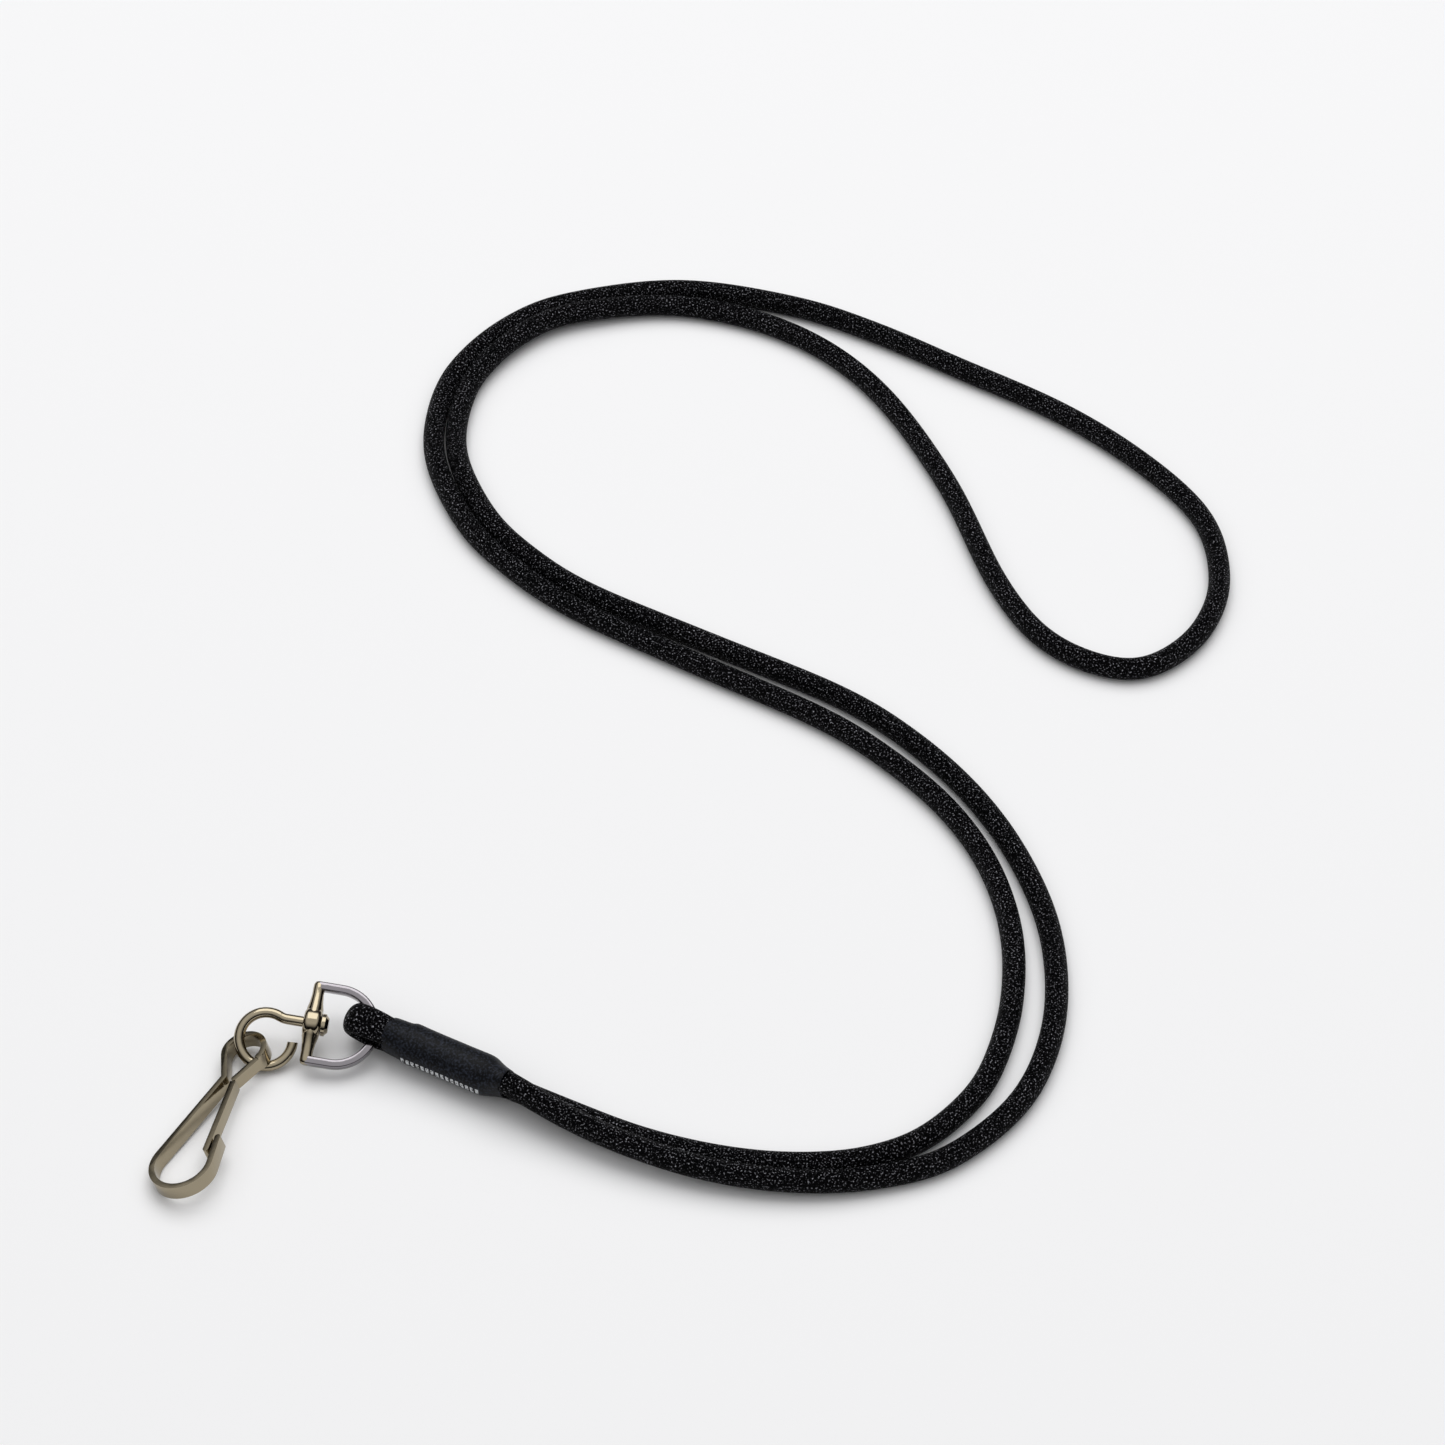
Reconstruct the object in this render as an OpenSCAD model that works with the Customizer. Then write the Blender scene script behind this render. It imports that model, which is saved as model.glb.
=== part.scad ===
// Round-cord lanyard, laid out flat as it rests on a table.
// A closed neck loop of braided cord passes twice through a shrink sleeve, where
// a crimp ferrule holds it. The cord's small end loop carries a D-ring, a wire
// swivel eye turns in the D-ring's boss, and a flat-strip spring hook hangs in
// the eye. Units are mm and +Z is up.

/* [Cord] */
// cord diameter
cord_d = 4; // [3:0.1:5]
// radius of the cord where it is squeezed round the D-ring
bight_r = 1.55; // [1.3:0.05:1.6]
// bend radius of the small end loop, to the cord's centre
bight_bend = 3.1; // [3:0.1:3.4]

/* [Sleeve] */
// radius over the sleeve's round middle
sleeve_r = 3.5; // [3.3:0.1:4]
// length of the sleeve
sleeve_len = 22.5; // [21:0.5:24]
// radius over the crimp ferrule
ferrule_r = 3.08; // [2.9:0.02:3.08]

/* [D-ring] */
// bend radius of the D, to the bar's centre
d_r = 6.5; // [6:0.1:7]
// straight length of each side of the D
d_side = 4; // [3:0.1:5]
// bar thickness in the plane of the D
d_bar = 1.5; // [1.2:0.1:1.6]
// bar height across the plane of the D
d_high = 1.9; // [1.6:0.1:2]
// radius of the boss that holds the swivel
boss_r = 2.6; // [2.3:0.1:2.8]

/* [Swivel eye] */
// radius of the wire
wire_r = 0.9; // [0.8:0.05:1]
// bend radius of the eye, to the wire's centre
eye_r = 4.5; // [4.3:0.1:4.7]
// radius of the rivet head inside the D
head_r = 1.9; // [1.6:0.1:2.2]

/* [Hook] */
// thickness of the spring strip
strip_t = 1; // [0.8:0.05:1.1]
// width of the strip in the hook's body
strip_w = 2.7; // [2.2:0.1:2.8]
// width of the strip in the gate leg
gate_w = 2.2; // [1.8:0.1:2.4]
// length of the gate leg from the waist
gate_len = 15.3; // [14:0.1:15.8]

/* [View] */
// which node to draw

/* [Hidden] */
$fn = 64;
cord_r = cord_d / 2;
lap = 0.02;              // how far one round piece sits inside the next where they join

// sleeve: the end where the neck loop leaves, and how the pair of strands tilts
sleeve_at = [28.54, 1, 4.75];
sleeve_turn = [-24, 0, 152.5];
pair_half = 2;          // half the strands' spacing at the sleeve's mouth
core_r = 2.7;           // the two strands squeezed into one round core
core_from = 4.3;
core_to = 19.3;
squeeze_half = 1.3;     // half the strands' spacing where the core starts
squeeze_r = 1.75;
bight_x = 26.5;         // centre of the small end loop
leg_x = 24;             // where its legs run parallel

// D-ring and swivel eye share one pivot line
d_at = [-4.63, 13.19, 5.66];
d_turn = [22, 6.26, -7];
eye_turn = [37.07, 6.26, -7];
bore_r = wire_r + 0.06;
boss_half = 1.5;
ring_x = -7.25;
ring_y = -3.9;
ring_to = 363;
neck_bend = 3;
// the neck's reverse bend touches the ring and ends on the stem's line
neck_x = ring_x + sqrt(pow(eye_r + neck_bend, 2) - pow(neck_bend - ring_y, 2));
ring_from = atan2(neck_bend - ring_y, neck_x - ring_x);
head_x = boss_half + 0.1;

// hook: strip path in the hook's own plane
hook_at = [-17.62, 3.535, 2.815];
hook_turn = [-16, 0, 69.6];
loop_x = 5.65;
loop_r = 3.5;
loop_from = -114.43;
loop_to = 116.45;
waist_l = [-0.5, 0.85];
waist_r = [-0.5, -1.05];
wall_l = 5.13;
wall_l_dir = 26.45;
wall_r = 5.17;
wall_r_dir = -24.43;
spine_dir = 167.1;
spine_len = 18.02;
bend_at = [-19.2, -0.1];
bend_r = 5.1;
bend_from = 77.1;
bend_to = 281;
tip_at = [-18.23, -5.11];
tip_dir = 11;
tip_len = 5.2;
gate_dir = 187.3;
gate_gap = 0.65;

// doubled stretch of the neck cord: middle x, y, lower strand's height, spacing, tilt
BAND = [
    [28.54, 1, 2.92, 4, 66],
    [39, -4.5, 2.2, 4.15, 43],
    [49, -9.3, 2.05, 4.15, 34],
    [60, -13, 2.02, 4.15, 23],
    [71, -15, 2, 4.15, 16],
    [81, -15.2, 2, 4.15, 9],
    [89, -14, 2, 4.2, 3],
    [99, -10.3, 2, 5.4, 0],
    [109, -1, 2, 6.7, 0],
    [114, 8.5, 2, 7.6, 0],
    [117, 21, 2, 7.5, 0],
    [117, 36.5, 2, 6.6, 0],
    [113, 52, 2, 5.6, 0],
    [106, 65.5, 2, 5.6, 0],
    [96, 77.5, 2, 6.1, 0],
    [83.5, 88, 2, 6.2, 0],
    [60, 101.5, 2, 5.5, 0],
    [38, 114.5, 2, 4.5, 0],
    [26.5, 124.5, 2, 4.2, 0],
    [18, 135.5, 2, 4.2, 0],
    [11.5, 153, 2, 4.2, 0],
    [12.5, 169, 2, 4.2, 4],
    [17, 179, 2, 4.2, 10],
    [24.5, 187.5, 2, 4.2, 14],
    [34, 193, 2, 4.2, 14],
    [55.5, 196.5, 2, 4.8, 3],
    [77.5, 190.5, 2, 7.2, 0]];
// the open end of the neck loop, one strand
LOOP = [[94, 186.5], [109, 177], [129, 164], [144, 150], [154, 135.5], [156, 120.5],
        [153, 109.5], [147, 101.5], [137.5, 97], [124, 103.5], [115, 118.5],
        [106, 146], [93, 171.5]];
rings = 80;
sides = 10;

nb = len(BAND);
function flat(v) = [v[0], v[1], 0];
function dir(i) = flat(BAND[min(i + 1, nb - 1)] - BAND[max(i - 1, 0)]);
function left(i) = i == 0 ? [sin(27.5), cos(27.5), 0] : cross([0, 0, 1], dir(i)) / norm(dir(i));
function mid(i) = [BAND[i][0], BAND[i][1], BAND[i][2] + BAND[i][3] * sin(BAND[i][4]) / 2];
function half(i) = BAND[i][3] / 2 * (cos(BAND[i][4]) * left(i) - sin(BAND[i][4]) * [0, 0, 1]);
route = concat([for (i = [0:nb - 1]) mid(i) + half(i)],
               [for (p = LOOP) [p[0], p[1], cord_r]],
               [for (i = [nb - 1:-1:0]) mid(i) - half(i)]);
last = len(route) - 1;
function at(i) = route[max(0, min(last, i))];
// smooth curve through the route's points
function bend(a, b, c, d, t) = 0.5 * ((2 * b) + (c - a) * t + (2 * a - 5 * b + 4 * c - d) * t * t
    + (3 * b - a - 3 * c + d) * t * t * t);
function along(u) = let (i = min(floor(u), last - 1))
    bend(at(i - 1), at(i), at(i + 1), at(i + 2), u - i);
function above(p) = [p[0], p[1], max(p[2], cord_r)];
line = [for (k = [0:rings]) above(along(k * last / rings))];
sleeve_out = [cos(27.5), -sin(27.5), 0];
function heading(k) = k == 0 ? sleeve_out : k == rings ? -sleeve_out
    : (line[k + 1] - line[k - 1]) / norm(line[k + 1] - line[k - 1]);
function side(k) = cross([0, 0, 1], heading(k)) / norm(cross([0, 0, 1], heading(k)));
function ring(k) = [for (j = [0:sides - 1]) let (a = 360 * (j + 0.5) / sides)
    line[k] + cord_r * (cos(a) * side(k) + sin(a) * cross(heading(k), side(k)))];

// the neck loop as one swept tube
module neck_cord() {
    pts = [for (k = [0:rings]) each ring(k)];
    walls = [for (k = [0:rings - 1], j = [0:sides - 1]) let (n = (j + 1) % sides)
        [k * sides + j, (k + 1) * sides + j, (k + 1) * sides + n, k * sides + n]];
    first = [for (j = [0:sides - 1]) j];
    final = [for (j = [sides - 1:-1:0]) rings * sides + j];
    color([0.07, 0.07, 0.08])
        polyhedron(points = pts, faces = concat([first, final], walls), convexity = 8);
}

// rod between two points of the sleeve's own x-z plane
module rod(x1, z1, r1, x2, z2, r2) {
    length = norm([x2 - x1, z2 - z1]);
    translate([x1, 0, z1])
        rotate([0, atan2(x2 - x1, z2 - z1), 0])
            cylinder(h = length, r1 = r1, r2 = r2);
}

module sleeve_place() {
    translate(sleeve_at)
        rotate(sleeve_turn)
            children();
}

// the cord inside the sleeve and its small end loop
module cord_fold() {
    color([0.07, 0.07, 0.08])
        sleeve_place() {
            translate([bight_x, 0, 0])
                rotate([90, 0, 0])
                    rotate([0, 0, -90])
                        rotate_extrude(angle = 180)
                            translate([bight_bend, 0])
                                circle(bight_r);
            rod(core_from, 0, core_r, core_to, 0, core_r);
            for (s = [-1, 1]) {
                rod(leg_x, s * bight_bend, bight_r - lap, bight_x + 0.3, s * bight_bend, bight_r - lap);
                rod(core_to - 0.1, s * squeeze_half, squeeze_r, leg_x + 0.4, s * (bight_bend + 0.1),
                    bight_r - 3 * lap);
                rod(0.7, s * pair_half, cord_r - 3 * lap, core_from + 0.1, s * squeeze_half, squeeze_r);
                rod(0, s * pair_half, cord_r - lap, 1, s * pair_half, cord_r - lap);
            }
        }
}

// metal tube crimped round the two strands
module crimp_ferrule() {
    color([0.7, 0.7, 0.72])
        sleeve_place()
            difference() {
                rod(5, 0, ferrule_r, 19, 0, ferrule_r);
                rod(4, 0, core_r, 20, 0, core_r);
            }
}

// two tapered rods side by side, from the round middle to one flattened end
module pair(x1, z1, r1, x2, z2, r2) {
    for (s = [-1, 1])
        rod(x1, s * z1, r1, x2, s * z2, r2);
}

// heat-shrunk cover: round in the middle, flattened over the strands at both ends
module shrink_sleeve() {
    inner_r = ferrule_r + 0.02;
    color([0.05, 0.05, 0.06])
        sleeve_place()
            difference() {
                intersection() {
                    union() {
                        rod(4, 0, sleeve_r, 19.5, 0, sleeve_r);
                        pair(5.5, 0.75, 2.65, -1, 2.2, 2.3);
                        pair(18, 0.75, 2.65, 23.5, 2.85, 2.05);
                    }
                    translate([0, -10, -10])
                        cube([sleeve_len, 20, 20]);
                }
                rod(4.4, 0, inner_r, 19.2, 0, inner_r);
                pair(5.5, 0.85, 2.15, -1, 2.22, 2.03);
                pair(18, 0.9, 2.1, 23.5, 2.83, 1.7);
            }
}

// D-ring with the boss that the eye turns in
module d_ring() {
    color([0.8, 0.8, 0.82])
        translate(d_at)
            rotate(d_turn)
                difference() {
                    union() {
                        translate([d_side, 0, 0])
                            rotate([0, 0, -90])
                                rotate_extrude(angle = 180)
                                    translate([d_r, 0])
                                        square([d_bar, d_high], center = true);
                        for (s = [-1, 1]) {
                            translate([d_side / 2, s * d_r, 0])
                                cube([d_side + 0.1, d_bar, d_high], center = true);
                            translate([0, s * d_r, 0])
                                cylinder(h = d_high, r = d_bar / 2, center = true);
                        }
                        linear_extrude(d_high, center = true)
                            polygon([[-0.75, -d_r], [0.75, -d_r], [0.75, -5], [1.5, -2],
                                     [1.5, 2], [0.75, 5], [0.75, d_r], [-0.75, d_r],
                                     [-0.75, 5], [-1.5, 2], [-1.5, -2], [-0.75, -5]]);
                        translate([-boss_half, 0, 0])
                            rotate([0, 90, 0])
                                cylinder(h = 2 * boss_half, r = boss_r);
                    }
                    translate([-boss_half - 1, 0, 0])
                        rotate([0, 90, 0])
                            cylinder(h = 2 * boss_half + 2, r = bore_r);
                }
}

// bent wire in the eye's plane
module wire_arc(x, y, r, from, to, thick) {
    translate([x, y, 0])
        rotate([0, 0, from])
            rotate_extrude(angle = to - from)
                translate([r, 0])
                    circle(thick);
}

// wire eye with its stem and rivet head
module swivel_eye() {
    color([0.78, 0.76, 0.72])
        translate(d_at)
            rotate(eye_turn) {
                wire_arc(ring_x, ring_y, eye_r, ring_from, ring_to, wire_r);
                wire_arc(neck_x, neck_bend, neck_bend, 178 + ring_from, 272, wire_r - lap);
                translate([neck_x, 0, 0])
                    rotate([0, 90, 0])
                        cylinder(h = head_x + 0.2 - neck_x, r = wire_r);
                translate([head_x, 0, 0])
                    rotate([0, 90, 0])
                        cylinder(h = 0.6, r = head_r);
                translate([head_x + 0.5, 0, 0])
                    rotate([0, 90, 0])
                        cylinder(h = 0.6, r1 = head_r - lap, r2 = head_r - 0.7);
            }
}

// flat strip from a point, one length in one direction
module strip(p, dir, from, length, w) {
    translate([p[0], p[1], 0])
        rotate([0, 0, dir])
            translate([from, -strip_t / 2, -w / 2])
                cube([length, strip_t, w]);
}

// flat strip bent round a centre
module strip_arc(p, r, from, to, w) {
    translate([p[0], p[1], 0])
        rotate([0, 0, from])
            rotate_extrude(angle = to - from)
                translate([r, 0])
                    square([strip_t, w], center = true);
}

// rounded end or corner of the strip
module strip_end(p, w) {
    translate([p[0], p[1], 0])
        cylinder(h = w, r = strip_t / 2, center = true);
}

module hook_place() {
    translate(hook_at)
        rotate(hook_turn)
            children();
}

// upper loop, spine, bend and tip
module hook_body() {
    color([0.78, 0.76, 0.72])
        hook_place() {
            strip_arc([loop_x, 0], loop_r, loop_from, loop_to, strip_w);
            strip(waist_l, wall_l_dir, 0, wall_l + 0.05, strip_w);
            strip(waist_r, wall_r_dir, 0, wall_r + 0.05, gate_w);
            strip_end(waist_l, strip_w);
            strip_end(waist_r, gate_w);
            strip(waist_l, spine_dir, 0, spine_len + 0.05, strip_w);
            strip_arc(bend_at, bend_r, bend_from, bend_to, strip_w);
            strip(tip_at, tip_dir, -0.05, tip_len, strip_w);
            strip_end(tip_at + tip_len * [cos(tip_dir), sin(tip_dir)], strip_w);
        }
}

// the springy leg that closes the hook
module hook_gate() {
    color([0.74, 0.72, 0.68])
        hook_place() {
            strip(waist_r, gate_dir, gate_gap, gate_len - gate_gap - 0.05, gate_w);
            strip_end(waist_r + gate_len * [cos(gate_dir), sin(gate_dir)], gate_w);
        }
}

neck_cord();
cord_fold();
crimp_ferrule();
shrink_sleeve();
d_ring();
swivel_eye();
hook_body();
hook_gate();
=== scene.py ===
# %% [markdown]
# # A round-cord lanyard with a swivel hook
#
# A lanyard is a soft loop of braided cord with a little chain of metal fittings
# at its end. This lesson dresses the moving model of one: the cord gets its
# braid, the shrink sleeve its soft edges, and the metal its plated shine.
# All lengths are in metres, and the object lies on the table at z = 0.

# %% Start from the moving model
import math
import bpy
import numpy as np
from mathutils import Euler, Matrix, Vector


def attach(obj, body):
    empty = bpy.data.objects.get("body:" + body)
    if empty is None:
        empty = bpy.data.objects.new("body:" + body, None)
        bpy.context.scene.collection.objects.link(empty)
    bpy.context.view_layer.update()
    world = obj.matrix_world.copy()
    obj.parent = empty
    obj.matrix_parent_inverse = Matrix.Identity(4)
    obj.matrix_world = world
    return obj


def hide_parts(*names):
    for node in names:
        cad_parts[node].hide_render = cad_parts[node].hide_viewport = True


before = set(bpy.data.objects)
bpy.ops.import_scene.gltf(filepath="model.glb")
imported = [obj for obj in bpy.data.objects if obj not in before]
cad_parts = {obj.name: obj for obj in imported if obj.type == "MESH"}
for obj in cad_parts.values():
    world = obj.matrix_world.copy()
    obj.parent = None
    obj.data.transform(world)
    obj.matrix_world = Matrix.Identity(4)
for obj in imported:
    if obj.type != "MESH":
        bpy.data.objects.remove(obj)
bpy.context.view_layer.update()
MM = 0.001
print("fittings:", sorted(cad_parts))

# %% [markdown]
# ## Helpers for working as by hand
#
# Blender's operators act on whatever is selected, so each step starts with
# nothing selected. These two helpers keep that in one place.

# %% Select nothing, or one piece
def nothing_selected():
    if bpy.context.mode != "OBJECT":
        bpy.ops.object.mode_set(mode="OBJECT")
    bpy.ops.object.select_all(action="DESELECT")


def pick(piece):
    nothing_selected()
    piece.select_set(True)
    bpy.context.view_layer.objects.active = piece


# %% [markdown]
# ## Where the cord lies
#
# The neck loop leaves the sleeve as two strands, one leaning on the other,
# winds over the table in an S, and opens into one wide turn. It could be
# simulated, but a cord that has come to rest is quicker to lay out in listed places: each
# row of DOUBLED is a place on the doubled stretch, with the lower strand's
# height, the spacing of the two strands and how far the pair leans (90 degrees
# is one on top of the other). TURN is the single strand at the far end.

# %% Places along the cord
CORD_D = 4 * MM
CORD_R = CORD_D / 2
RING_EVERY = 1.2 * MM    # a ring of the tube at each of these steps
EASE_OVER = 3 * MM       # kinks shorter than this are smoothed away
SLEEVE_AT = Vector((28.54, 1, 4.75)) * MM
SLEEVE_TURN = (math.radians(-24), 0, math.radians(152.5))
DOUBLED = [
    # x, y, height, spacing, lean
    (28.54, 1, 2.92, 4, 66),
    (39, -4.5, 2.2, 4.15, 43),
    (49, -9.3, 2.05, 4.15, 34),
    (60, -13, 2.02, 4.15, 23),
    (71, -15, 2, 4.15, 16),
    (81, -15.2, 2, 4.15, 9),
    (89, -14, 2, 4.2, 3),
    (99, -10.3, 2, 5.4, 0),
    (109, -1, 2, 6.7, 0),
    (114, 8.5, 2, 7.6, 0),
    (117, 21, 2, 7.5, 0),
    (117, 36.5, 2, 6.6, 0),
    (113, 52, 2, 5.6, 0),
    (106, 65.5, 2, 5.6, 0),
    (96, 77.5, 2, 6.1, 0),
    (83.5, 88, 2, 6.2, 0),
    (60, 101.5, 2, 5.5, 0),
    (38, 114.5, 2, 4.5, 0),
    (26.5, 124.5, 2, 4.2, 0),
    (18, 135.5, 2, 4.2, 0),
    (11.5, 153, 2, 4.2, 0),
    (12.5, 169, 2, 4.2, 4),
    (17, 179, 2, 4.2, 10),
    (24.5, 187.5, 2, 4.2, 14),
    (34, 193, 2, 4.2, 14),
    (55.5, 196.5, 2, 4.8, 3),
    (77.5, 190.5, 2, 7.2, 0),
]
TURN = [
    (94, 186.5), (109, 177), (129, 164), (144, 150), (154, 135.5), (156, 120.5),
    (153, 109.5), (147, 101.5), (137.5, 97), (124, 103.5), (115, 118.5),
    (106, 146), (93, 171.5),
]


def strands():
    """The two strands of the doubled stretch, as lists of points."""
    rows = np.array(DOUBLED, float)
    near, far = [], []
    for i, (x, y, low, spacing, lean) in enumerate(rows):
        if i == 0:
            left = np.array((math.sin(math.radians(27.5)), math.cos(math.radians(27.5)), 0))
        else:
            way = rows[min(i + 1, len(rows) - 1), :2] - rows[i - 1, :2]
            left = np.array((-way[1], way[0], 0)) / np.hypot(*way)
        lean = math.radians(lean)
        across = spacing / 2 * (math.cos(lean) * left - math.sin(lean) * np.array((0, 0, 1)))
        middle = np.array((x, y, low + spacing / 2 * math.sin(lean)))
        far.append(middle + across)
        near.append(middle - across)
    return far, near


def smooth(points, spacing, ease=0):
    """A smooth curve through the points, cut into even steps and eased."""
    p = np.array(points, float)
    p = np.vstack((2 * p[0] - p[1], p, 2 * p[-1] - p[-2]))
    fine = []
    for i in range(1, len(p) - 2):
        a, b, c, d = p[i - 1:i + 3]
        for t in np.linspace(0, 1, 24, endpoint=False):
            fine.append(0.5 * (2 * b + (c - a) * t + (2 * a - 5 * b + 4 * c - d) * t * t
                               + (3 * b - a - 3 * c + d) * t ** 3))
    fine.append(p[-2])
    fine = np.array(fine)
    along = np.concatenate(([0], np.cumsum(np.linalg.norm(np.diff(fine, axis=0), axis=1))))
    steps = np.linspace(0, along[-1], int(along[-1] / spacing) + 1)
    line = np.column_stack([np.interp(steps, along, fine[:, k]) for k in range(3)])
    # a cord is too stiff for small kinks: each point eases towards its neighbours
    for _ in range(int((ease / spacing) ** 2 * 2)):
        line[1:-1] += 0.25 * (line[:-2] - 2 * line[1:-1] + line[2:])
    return line, along[-1]


far_strand, near_strand = strands()
route = far_strand + [np.array((x, y, CORD_R / MM)) for x, y in TURN] + near_strand[::-1]
neck_line, neck_length = smooth(np.array(route) * MM, RING_EVERY, ease=EASE_OVER)
neck_line[:, 2] = np.maximum(neck_line[:, 2], CORD_R)
print(f"the neck loop is {neck_length:.3f} m long, in {len(neck_line)} rings")

# %% [markdown]
# ## A tube for the cord
#
# A round cord is a tube swept along its line. Its UV map is measured in turns
# round the cord, both ways, so that a braid drawn on it is hardly stretched.
# Each ring may be squeezed in one direction, as the cord is in the sleeve.

# %% Sweep a tube along a line
def swept_cord(name, line, upright, thick, wide, sides=32):
    """A closed tube round line. upright is the direction that thick is measured in."""
    line = np.asarray(line, float)
    count = len(line)
    upright = np.broadcast_to(np.asarray(upright, float), (count, 3))
    heading = np.gradient(line, axis=0)
    heading /= np.linalg.norm(heading, axis=1)[:, None]
    side = np.cross(upright, heading)
    side /= np.linalg.norm(side, axis=1)[:, None]
    top = np.cross(heading, side)
    thick = np.broadcast_to(thick, count)
    wide = np.broadcast_to(wide, count)
    angle = 2 * math.pi * (np.arange(sides) + 0.5) / sides
    rings = (line[:, None, :]
             + (wide[:, None] * np.cos(angle))[:, :, None] * side[:, None, :]
             + (thick[:, None] * np.sin(angle))[:, :, None] * top[:, None, :])
    vertices = rings.reshape(-1, 3)
    faces = []
    for k in range(count - 1):
        for j in range(sides):
            n = (j + 1) % sides
            here, ahead = k * sides, (k + 1) * sides
            faces.append((here + j, ahead + j, ahead + n, here + n))
    walls = len(faces)
    faces.append(tuple(range(sides)))
    faces.append(tuple(range(count * sides - 1, (count - 1) * sides - 1, -1)))
    mesh = bpy.data.meshes.new(name)
    mesh.from_pydata(vertices.tolist(), [], faces)
    along = np.concatenate(([0], np.cumsum(np.linalg.norm(np.diff(line, axis=0), axis=1))))
    turns = along / (math.pi * CORD_D)
    layer = mesh.uv_layers.new(name="braid")
    uv = np.zeros((len(mesh.loops), 2))
    k, j = np.divmod(np.arange(walls), sides)
    corners = uv[:walls * 4].reshape(walls, 4, 2)
    corners[:, 0] = np.column_stack((turns[k], j / sides))
    corners[:, 1] = np.column_stack((turns[k + 1], j / sides))
    corners[:, 2] = np.column_stack((turns[k + 1], (j + 1) / sides))
    corners[:, 3] = np.column_stack((turns[k], (j + 1) / sides))
    layer.data.foreach_set("uv", uv.ravel())
    mesh.polygons.foreach_set("use_smooth", [True] * walls + [False] * 2)
    mesh.validate()
    piece = bpy.data.objects.new(name, mesh)
    bpy.context.collection.objects.link(piece)
    return piece


neck = swept_cord("neck_braid", neck_line, (0, 0, 1), CORD_R, CORD_R)
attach(neck, "cord_and_sleeve")
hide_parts("neck_cord")
print("neck cord:", len(neck.data.polygons), "faces")

# %% [markdown]
# ## The cord inside the sleeve and its end loop
#
# The same cord is squeezed flat inside the crimp, comes out at the other end
# of the sleeve and bends tightly round the D-ring. Its rows are in the
# sleeve's own frame: how far along, how far off the middle, half the cord's
# thickness and half its width.

# %% The end loop round the D-ring
SLEEVE = Matrix.LocRotScale(SLEEVE_AT, Euler(SLEEVE_TURN), None)
LEG = [
    # along, off the middle, half thick, half wide
    (0, 2, 1.98, 1.98),
    (1, 1.95, 1.9, 1.98),
    (3, 1.6, 1.55, 2.1),
    (5, 1.3, 1.28, 2.2),
    (12, 1.3, 1.28, 2.2),
    (19, 1.3, 1.28, 2.1),
    (20.5, 1.75, 1.4, 2.2),
    (22.5, 2.6, 1.5, 2.45),
    (24.5, 3.05, 1.52, 2.6),
]
LOOP_X = 26.5
LOOP_R = 3.1
LOOP_THICK = 1.53
LOOP_WIDE = 2.7


def end_loop():
    """Rows down one leg, round the bend and back along the other."""
    bend = [(LOOP_X + LOOP_R * math.sin(a), LOOP_R * math.cos(a), LOOP_THICK, LOOP_WIDE)
            for a in np.linspace(0, math.pi, 13)]
    back = [(x, -z, t, w) for x, z, t, w in LEG[::-1]]
    return np.array(LEG + bend + back)


rows = end_loop()
fold_line, fold_length = smooth(np.column_stack((rows[:, 0], 0 * rows[:, 0], rows[:, 1])) * MM,
                                0.5 * MM)
reach = np.concatenate(([0], np.cumsum(np.linalg.norm(np.diff(rows[:, :2], axis=0), axis=1))))
share = np.linspace(0, reach[-1], len(fold_line))
half_thick = np.interp(share, reach, rows[:, 2]) * MM
half_wide = np.interp(share, reach, rows[:, 3]) * MM
heading = np.gradient(fold_line, axis=0)
outward = np.column_stack((-heading[:, 2], 0 * share, heading[:, 0]))
turn = np.array(SLEEVE.to_3x3())
fold = swept_cord("end_loop_braid", fold_line @ turn.T + np.array(SLEEVE_AT), outward @ turn.T,
                  half_thick, half_wide)
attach(fold, "cord_and_sleeve")
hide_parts("cord_fold")
print(f"end loop: {fold_length * 1000:.0f} mm of cord in the sleeve and round the ring")

# %% [markdown]
# ## The shrink sleeve
#
# Heat-shrink tube is one thin wall that has tightened round whatever is in
# it: round over the crimp, flat over the two strands at either end. It is
# drawn out of one circle, ring by ring: from inside the mouth, over the lip,
# along the outside, over the far lip and back in, where the last ring meets
# the first.

# %% Draw the sleeve out of a circle
SLEEVE_SIDES = 48
WALL = [
    # along, half tall, half wide
    (4.6, 3.15, 3.15),
    (2.2, 3.65, 2.55),
    (0.15, 4.06, 2.1),
    (-0.02, 4.15, 2.17),
    (0, 4.28, 2.3),
    (0.35, 4.33, 2.37),
    (1.5, 4.2, 2.6),
    (2.6, 3.95, 3.0),
    (3.4, 3.7, 3.36),
    (4.3, 3.54, 3.52),
    (5.5, 3.5, 3.54),
    (8, 3.5, 3.48),
    (11, 3.47, 3.5),
    (14, 3.5, 3.48),
    (17, 3.52, 3.52),
    (18.6, 3.58, 3.58),
    (19, 3.5, 3.48),
    (19.3, 3.42, 3.26),
    (20.5, 3.8, 3.16),
    (21.6, 4.3, 3.1),
    (22.4, 4.6, 3.02),
    (22.5, 4.58, 2.95),
    (22.42, 4.45, 2.8),
    (21.4, 4.05, 2.85),
    (19.3, 3.15, 3.15),
    (4.6, 3.15, 3.15),
]


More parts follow.
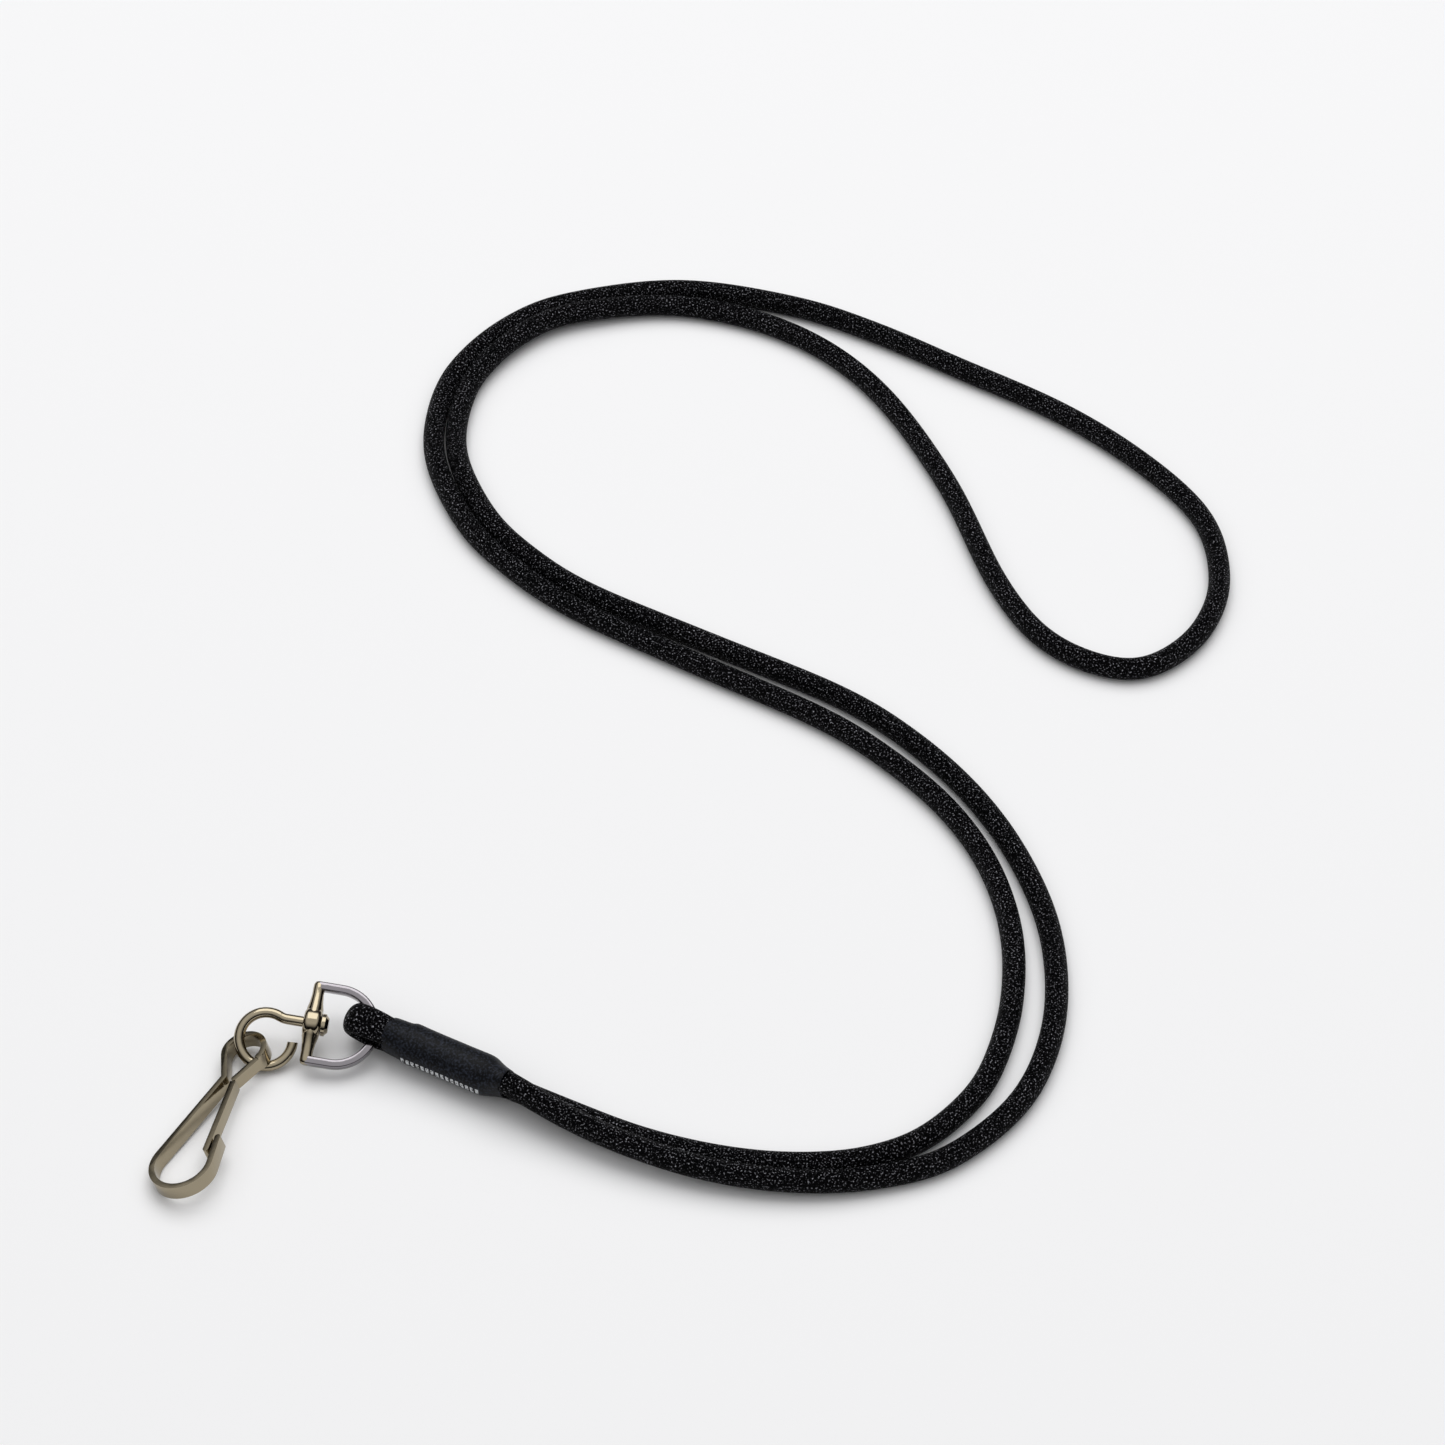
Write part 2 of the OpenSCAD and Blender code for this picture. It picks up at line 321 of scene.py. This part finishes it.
def sleeve_piece():
    nothing_selected()
    along, tall, wide = WALL[0]
    bpy.ops.mesh.primitive_circle_add(vertices=SLEEVE_SIDES, radius=tall * MM,
                                      location=(0, 0, along * MM))
    piece = bpy.context.object
    piece.name = "sleeve_shell"
    bpy.ops.object.transform_apply(location=True, rotation=False, scale=False)
    bpy.ops.object.mode_set(mode="EDIT")
    for next_along, next_tall, next_wide in WALL[1:]:
        bpy.ops.mesh.extrude_region_move(
            TRANSFORM_OT_translate={"value": (0, 0, (next_along - along) * MM)})
        bpy.ops.transform.resize(value=(next_tall / tall, next_wide / wide, 1),
                                 center_override=(0, 0, next_along * MM))
        along, tall, wide = next_along, next_tall, next_wide
    bpy.ops.mesh.select_all(action="SELECT")
    bpy.ops.mesh.remove_doubles(threshold=0.00001)
    bpy.ops.mesh.normals_make_consistent(inside=False)
    bpy.ops.object.mode_set(mode="OBJECT")
    # the circle's own axis becomes the sleeve's length, its x the strands' stacking
    stand = Matrix(((0, 0, 1), (0, -1, 0), (1, 0, 0))).to_4x4()
    piece.matrix_world = SLEEVE @ stand
    bpy.ops.object.transform_apply(location=True, rotation=True, scale=True)
    bpy.ops.object.modifier_add(type="SUBSURF")
    piece.modifiers[-1].levels = 1
    piece.modifiers[-1].render_levels = 1
    bpy.ops.object.modifier_apply(modifier=piece.modifiers[-1].name)
    bpy.ops.object.shade_smooth()
    return piece


sleeve = sleeve_piece()
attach(sleeve, "cord_and_sleeve")
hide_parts("shrink_sleeve")
print("sleeve:", len(sleeve.data.polygons), "faces")

# %% [markdown]
# ## Metal with softened edges
#
# Stamped and bent metal never has a knife edge: tumbling and plating round it
# over, and that thin rounding is what catches the light. Each fitting is a
# copy of the moving model's own piece, so its place stays exact; its triangles
# are joined, its flats are made whole again, and a narrow bevel is cut.

# %% Copy a fitting and round its edges
def softened(node, name, edge, body):
    nothing_selected()
    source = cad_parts[node]
    piece = source.copy()
    piece.data = source.data.copy()
    piece.name = name
    piece.parent = None
    bpy.context.collection.objects.link(piece)
    piece.matrix_world = Matrix.Identity(4)
    pick(piece)
    bpy.ops.object.mode_set(mode="EDIT")
    bpy.ops.mesh.select_all(action="SELECT")
    bpy.ops.mesh.remove_doubles(threshold=0.000002)
    bpy.ops.mesh.dissolve_limited(angle_limit=math.radians(0.5))
    bpy.ops.object.mode_set(mode="OBJECT")
    bpy.ops.object.modifier_add(type="BEVEL")
    bevel = piece.modifiers[-1]
    bevel.width = edge
    bevel.segments = 5
    bevel.limit_method = "ANGLE"
    bevel.angle_limit = math.radians(35)
    bpy.ops.object.modifier_apply(modifier=bevel.name)
    bpy.ops.object.shade_smooth_by_angle(angle=math.radians(40))
    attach(piece, body)
    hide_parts(node)
    print(f"{name}: {len(piece.data.polygons)} faces")
    return piece


eye = softened("swivel_eye", "eye_wire", 0.3 * MM, "eye")
hook = softened("hook_body", "hook_strip", 0.16 * MM, "hook")
gate = softened("hook_gate", "gate_strip", 0.16 * MM, "gate")

# %% [markdown]
# ## The D-ring
#
# A D-ring is soft-edged square bar bent to a D, with its two ends cast into a
# straight base that swells in the middle to hold the swivel. Spin carries the
# bar's section round the bend, extrude and resize draw the base, and the boss
# is a turned barrel with rounded rims. RING is the D's own frame: x runs away
# from the base, y along it.

# %% Bend the D
RING = Matrix.LocRotScale(Vector((-4.63, 13.19, 5.66)) * MM,
                          Euler((math.radians(22), math.radians(6.26), math.radians(-7))), None)
D_BEND = 6.5 * MM
D_SIDE = 4 * MM
BAR_THICK = 1.52 * MM
BAR_HIGH = 1.9 * MM
BAR_CORNER = 0.42 * MM


def draw(steps, axis):
    """Extrude the selected ring of points on to each (place, width, height)."""
    place, width, high = steps[0]
    for next_place, next_width, next_high in steps[1:]:
        move = [0, 0, 0]
        move[axis] = (next_place - place) * MM
        bpy.ops.mesh.extrude_region_move(TRANSFORM_OT_translate={"value": move})
        centre = [0, 0, 0]
        centre[axis] = next_place * MM
        grow = [next_width / width] * 3
        grow[2] = next_high / high
        grow[axis] = 1
        bpy.ops.transform.resize(value=grow, center_override=centre)
        place, width, high = next_place, next_width, next_high


def d_bend():
    nothing_selected()
    bpy.ops.mesh.primitive_plane_add(size=BAR_THICK, location=(0, -D_BEND, 0),
                                     rotation=(0, math.radians(90), 0))
    piece = bpy.context.object
    bpy.ops.object.transform_apply(location=True, rotation=True, scale=True)
    bpy.ops.object.mode_set(mode="EDIT")
    bpy.ops.transform.resize(value=(1, 1, BAR_HIGH / BAR_THICK), center_override=(0, 0, 0))
    bpy.ops.mesh.bevel(offset=BAR_CORNER, segments=5, affect="VERTICES")
    bpy.ops.mesh.extrude_region_move(TRANSFORM_OT_translate={"value": (D_SIDE, 0, 0)})
    bpy.ops.mesh.spin(steps=40, angle=-math.pi, center=(D_SIDE, 0, 0), axis=(0, 0, 1))
    bpy.ops.mesh.extrude_region_move(TRANSFORM_OT_translate={"value": (-D_SIDE, 0, 0)})
    bpy.ops.object.mode_set(mode="OBJECT")
    return piece


def d_base():
    nothing_selected()
    bpy.ops.mesh.primitive_circle_add(vertices=20, radius=0.4 * MM, fill_type="NGON",
                                      location=(0, -7.3 * MM, 0),
                                      rotation=(math.radians(90), 0, 0))
    piece = bpy.context.object
    bpy.ops.object.transform_apply(location=True, rotation=True, scale=True)
    bpy.ops.object.mode_set(mode="EDIT")
    half = [(-7.3, 0.4, 0.4), (-7.15, 0.75, 0.8), (-6.7, 0.98, 0.99), (-6, 1, 1),
            (-5, 0.98, 1), (-3.6, 1.15, 1.2), (-2.4, 1.42, 1.7), (-1.5, 1.46, 2.1)]
    draw(half + [(-y, w, h) for y, w, h in half[::-1]], 1)
    bpy.ops.object.mode_set(mode="OBJECT")
    return piece


def d_boss():
    nothing_selected()
    bpy.ops.mesh.primitive_cylinder_add(vertices=40, radius=2.6 * MM, depth=3 * MM,
                                        rotation=(0, math.radians(90), 0))
    piece = bpy.context.object
    bpy.ops.object.transform_apply(location=False, rotation=True, scale=False)
    bpy.ops.object.modifier_add(type="BEVEL")
    bevel = piece.modifiers[-1]
    bevel.width = 0.9 * MM
    bevel.segments = 6
    bevel.limit_method = "ANGLE"
    bpy.ops.object.modifier_apply(modifier=bevel.name)
    return piece


def closed_up(piece):
    pick(piece)
    bpy.ops.object.mode_set(mode="EDIT")
    bpy.ops.mesh.select_all(action="SELECT")
    bpy.ops.mesh.remove_doubles(threshold=0.000001)
    bpy.ops.mesh.fill_holes(sides=0)
    bpy.ops.mesh.normals_make_consistent(inside=False)
    bpy.ops.object.mode_set(mode="OBJECT")


parts = [d_bend(), d_base(), d_boss()]
for part in parts:
    closed_up(part)
bend_faces = len(parts[0].data.polygons)
nothing_selected()
for part in parts:
    part.select_set(True)
bpy.context.view_layer.objects.active = parts[0]
bpy.ops.object.join()
ring = bpy.context.object
ring.name = "ring_plated"
ring.matrix_world = RING
bpy.ops.object.transform_apply(location=True, rotation=True, scale=True)
bpy.ops.object.shade_smooth_by_angle(angle=math.radians(50))
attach(ring, "d_ring")
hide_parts("d_ring")
print("D-ring:", len(ring.data.polygons), "faces")

# %% [markdown]
# ## Finishes
#
# A finish is a set of numbers on one shader plus small patterns that break it
# up. These helpers add a node and join two sockets in one line each.

# %% Start a finish
def finish_named(name):
    material = bpy.data.materials.new(name)
    material.use_nodes = True
    tree = material.node_tree
    return material, tree, tree.nodes["Principled BSDF"]


def add(tree, kind, **values):
    node = tree.nodes.new(kind)
    for key, value in values.items():
        setattr(node, key, value)
    return node


def maths(tree, operation, first, second=None):
    node = add(tree, "ShaderNodeMath", operation=operation)
    for socket, value in zip(node.inputs, (first, second)):
        if value is None:
            continue
        if isinstance(value, (int, float)):
            socket.default_value = value
        else:
            tree.links.new(value, socket)
    return node.outputs[0]


def blend_numbers(tree, amount, low, high):
    node = add(tree, "ShaderNodeMapRange")
    tree.links.new(amount, node.inputs["Value"])
    node.inputs["To Min"].default_value = low
    node.inputs["To Max"].default_value = high
    return node.outputs["Result"]


def bumped(tree, shader, height, distance, strength):
    node = add(tree, "ShaderNodeBump")
    node.inputs["Strength"].default_value = strength
    node.inputs["Distance"].default_value = distance
    tree.links.new(height, node.inputs["Height"])
    tree.links.new(node.outputs["Normal"], shader.inputs["Normal"])


def put_on(material, *pieces):
    for piece in pieces:
        piece.data.materials.clear()
        piece.data.materials.append(material)


# %% [markdown]
# ## The braid
#
# Fourteen bundles run round the cord each way, over and under one another. In
# the cord's UV map they are slanting waves: where two crossing waves are both
# high, a bundle lies on top. Single filaments inside a bundle are a finer wave;
# a grain of noise bumps them and paints pale specks into the black colour: painted glints.

# %% Braided polyester
BUNDLES = 14
braid, tree, shader = finish_named("black braid")
uv = add(tree, "ShaderNodeUVMap", uv_map="braid").outputs["UV"]
split = add(tree, "ShaderNodeSeparateXYZ")
tree.links.new(uv, split.inputs[0])
lengthwise, around = split.outputs[0], split.outputs[1]
right_hand = maths(tree, "MULTIPLY", maths(tree, "ADD", around, lengthwise), BUNDLES)
left_hand = maths(tree, "MULTIPLY", maths(tree, "SUBTRACT", around, lengthwise), BUNDLES)


def wave(turns):
    return maths(tree, "ABSOLUTE", maths(tree, "SINE", maths(tree, "MULTIPLY", turns, math.pi)))


over = maths(tree, "MULTIPLY", wave(right_hand), wave(left_hand))
filaments = maths(tree, "MULTIPLY", wave(maths(tree, "MULTIPLY", right_hand, 3)),
                  wave(maths(tree, "MULTIPLY", left_hand, 3)))
grain = add(tree, "ShaderNodeTexNoise")
grain.inputs["Scale"].default_value = 38
grain.inputs["Detail"].default_value = 3
tree.links.new(uv, grain.inputs["Vector"])
height = maths(tree, "ADD", over, maths(tree, "MULTIPLY", filaments, 0.35))
height = maths(tree, "ADD", height, maths(tree, "MULTIPLY", grain.outputs[0], 0.9))
bumped(tree, shader, height, 0.16 * MM, 0.9)
# painted highlight: where the noise is high, pale specks are painted into the black base colour
# as glints of light on the filaments
painted_glints = add(tree, "ShaderNodeValToRGB")
painted_glints.color_ramp.elements[0].position = 0.58
painted_glints.color_ramp.elements[0].color = (0.0006, 0.0006, 0.0009, 1)
painted_glints.color_ramp.elements[1].position = 0.8
painted_glints.color_ramp.elements[1].color = (0.55, 0.55, 0.6, 1)
tree.links.new(grain.outputs[0], painted_glints.inputs[0])
tree.links.new(painted_glints.outputs[0], shader.inputs["Base Color"])
shader.inputs["Roughness"].default_value = 0.5
shader.inputs["Specular IOR Level"].default_value = 0.03
put_on(braid, neck, fold)
print("braid:", BUNDLES, "bundles each way")

# %% [markdown]
# ## The sleeve's rubbery black
#
# Shrink tube is a dull blue-black with a soft speckle. A row of small pale
# dashes runs low along its near side, where such tubes carry their marking;
# here it is a plain pattern with nothing to read. A Mapping node turned the
# sleeve's own way tells how far along and how far round a point is.

# %% Shrink-tube black with a row of dashes
rubber, tree, shader = finish_named("shrink sleeve black")
place = add(tree, "ShaderNodeTexCoord").outputs["Object"]
turned = add(tree, "ShaderNodeMapping", vector_type="TEXTURE")
turned.inputs["Location"].default_value = SLEEVE_AT
turned.inputs["Rotation"].default_value = SLEEVE_TURN
tree.links.new(place, turned.inputs["Vector"])
split = add(tree, "ShaderNodeSeparateXYZ")
tree.links.new(turned.outputs[0], split.inputs[0])
DASH_FROM, DASH_TO = 3.5 * MM, 19 * MM
DASH_STEP = 0.95 * MM
DASH_ROUND = math.radians(75)
DASH_HALF = math.radians(12)
angle = maths(tree, "ARCTAN2", split.outputs[1], split.outputs[2])
off = maths(tree, "ABSOLUTE", maths(tree, "SUBTRACT", angle, DASH_ROUND))
in_row = maths(tree, "LESS_THAN", off, DASH_HALF)
after = maths(tree, "GREATER_THAN", split.outputs[0], DASH_FROM)
before = maths(tree, "LESS_THAN", split.outputs[0], DASH_TO)
step = maths(tree, "FRACT", maths(tree, "DIVIDE", split.outputs[0], DASH_STEP))
dash = maths(tree, "LESS_THAN", step, 0.62)
mark = maths(tree, "MULTIPLY", maths(tree, "MULTIPLY", in_row, dash),
             maths(tree, "MULTIPLY", after, before))
grain = add(tree, "ShaderNodeTexNoise")
grain.inputs["Scale"].default_value = 2600
grain.inputs["Detail"].default_value = 3
tree.links.new(place, grain.inputs["Vector"])
worn = maths(tree, "MULTIPLY", mark, maths(tree, "GREATER_THAN", grain.outputs[0], 0.42))
tone = add(tree, "ShaderNodeMix", data_type="RGBA")
tone.inputs["B"].default_value = (0.6, 0.62, 0.63, 1)
speckle = add(tree, "ShaderNodeValToRGB")
speckle.color_ramp.elements[0].position = 0.45
speckle.color_ramp.elements[0].color = (0.001, 0.0012, 0.002, 1)
speckle.color_ramp.elements[1].position = 0.7
speckle.color_ramp.elements[1].color = (0.022, 0.026, 0.038, 1)
tree.links.new(grain.outputs[0], speckle.inputs[0])
tree.links.new(speckle.outputs[0], tone.inputs["A"])
tree.links.new(worn, tone.inputs["Factor"])
tree.links.new(tone.outputs["Result"], shader.inputs["Base Color"])
tree.links.new(blend_numbers(tree, grain.outputs[0], 0.42, 0.62), shader.inputs["Roughness"])
shader.inputs["Specular IOR Level"].default_value = 0.13
bumped(tree, shader, grain.outputs[0], 0.03 * MM, 0.6)
put_on(rubber, sleeve)
print("sleeve dashes:", round((DASH_TO - DASH_FROM) / DASH_STEP))

# %% [markdown]
# ## Plated metal
#
# The bent D is bright and neutral; its base, the wire and the strip are
# nickel, a little warmer and softer. Small uneven patches in the roughness keep the
# plating from looking like a mirror, and a shallow waviness bends the
# reflections as bent wire does.

# %% Bright plate, nickel and the hidden crimp
def plated(name, colour, rough_low, rough_high, ripple):
    material, tree, shader = finish_named(name)
    place = add(tree, "ShaderNodeTexCoord").outputs["Object"]
    patches = add(tree, "ShaderNodeTexNoise")
    patches.inputs["Scale"].default_value = 700
    patches.inputs["Detail"].default_value = 4
    tree.links.new(place, patches.inputs["Vector"])
    shader.inputs["Base Color"].default_value = (*colour, 1)
    shader.inputs["Metallic"].default_value = 1
    tree.links.new(blend_numbers(tree, patches.outputs[0], rough_low, rough_high),
                   shader.inputs["Roughness"])
    bumped(tree, shader, patches.outputs[0], ripple, 0.5)
    return material


put_on(plated("bright plate", (0.25, 0.235, 0.25), 0.04, 0.12, 0.03 * MM), ring)
nickel = plated("nickel", (0.32, 0.275, 0.195), 0.05, 0.16, 0.05 * MM)
put_on(nickel, eye, hook, gate)
ring.data.materials.append(nickel)
for face in ring.data.polygons[bend_faces:]:
    face.material_index = 1
put_on(plated("crimp metal", (0.75, 0.75, 0.76), 0.3, 0.45, 0.05 * MM),
       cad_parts["crimp_ferrule"])
print("metal finishes: bright plate, nickel, crimp metal")

# %% [markdown]
# ## Table, light and camera
#
# A pale table, one large soft light high up behind the object, and a sky that
# is bright overhead and dark round the sides. The light behind throws short
# soft shadows towards the viewer, and the dark sides give the plated metal
# something to reflect besides white.

# %% The table
nothing_selected()
bpy.ops.mesh.primitive_plane_add(size=4, location=(0.06, 0.09, 0))
table = bpy.context.object
table.name = "table"
paper, tree, shader = finish_named("pale table")
shader.inputs["Base Color"].default_value = (0.88, 0.88, 0.885, 1)
shader.inputs["Roughness"].default_value = 0.9
shader.inputs["Specular IOR Level"].default_value = 0.1
put_on(paper, table)
print("table laid")

# %% Light from behind and above
MIDDLE = Vector((0.064, 0.09, 0))


def soft_light(name, place, size, power):
    bpy.ops.object.light_add(type="AREA", location=place)
    lamp = bpy.context.object
    lamp.name = name
    lamp.data.shape = "SQUARE"
    lamp.data.size = size
    lamp.data.energy = power
    lamp.rotation_euler = (MIDDLE - Vector(place)).to_track_quat("-Z", "Y").to_euler()


soft_light("key", (0.1, 0.66, 1.5), 1.5, 13.6)
world = bpy.data.worlds.new("studio sky")
bpy.context.scene.world = world
world.use_nodes = True
tree = world.node_tree
sky = tree.nodes["Background"]
sky.inputs["Strength"].default_value = 1.0
way_up = add(tree, "ShaderNodeSeparateXYZ")
tree.links.new(add(tree, "ShaderNodeTexCoord").outputs["Generated"], way_up.inputs[0])
studio = add(tree, "ShaderNodeValToRGB")
studio.color_ramp.elements[0].position = 0.35
studio.color_ramp.elements[0].color = (0.012, 0.012, 0.013, 1)
studio.color_ramp.elements[1].position = 0.8
studio.color_ramp.elements[1].color = (0.98, 0.98, 0.985, 1)
tree.links.new(way_up.outputs[2], studio.inputs[0])
tree.links.new(studio.outputs[0], sky.inputs["Color"])
bpy.context.scene.view_settings.view_transform = "Standard"

# %% [markdown]
# ## The camera
#
# It stands in front and above, looking down at the table at 48 degrees with
# a long lens, so that the near and far ends of the cord are nearly one scale.

# %% The camera
LOOK_DOWN = math.radians(48)
bpy.ops.object.camera_add(location=(0.0641, -0.4397, 0.584),
                          rotation=(math.pi / 2 - LOOK_DOWN, 0, 0))
camera = bpy.context.object
camera.data.sensor_width = 36
camera.data.lens = 108.9
bpy.context.scene.camera = camera
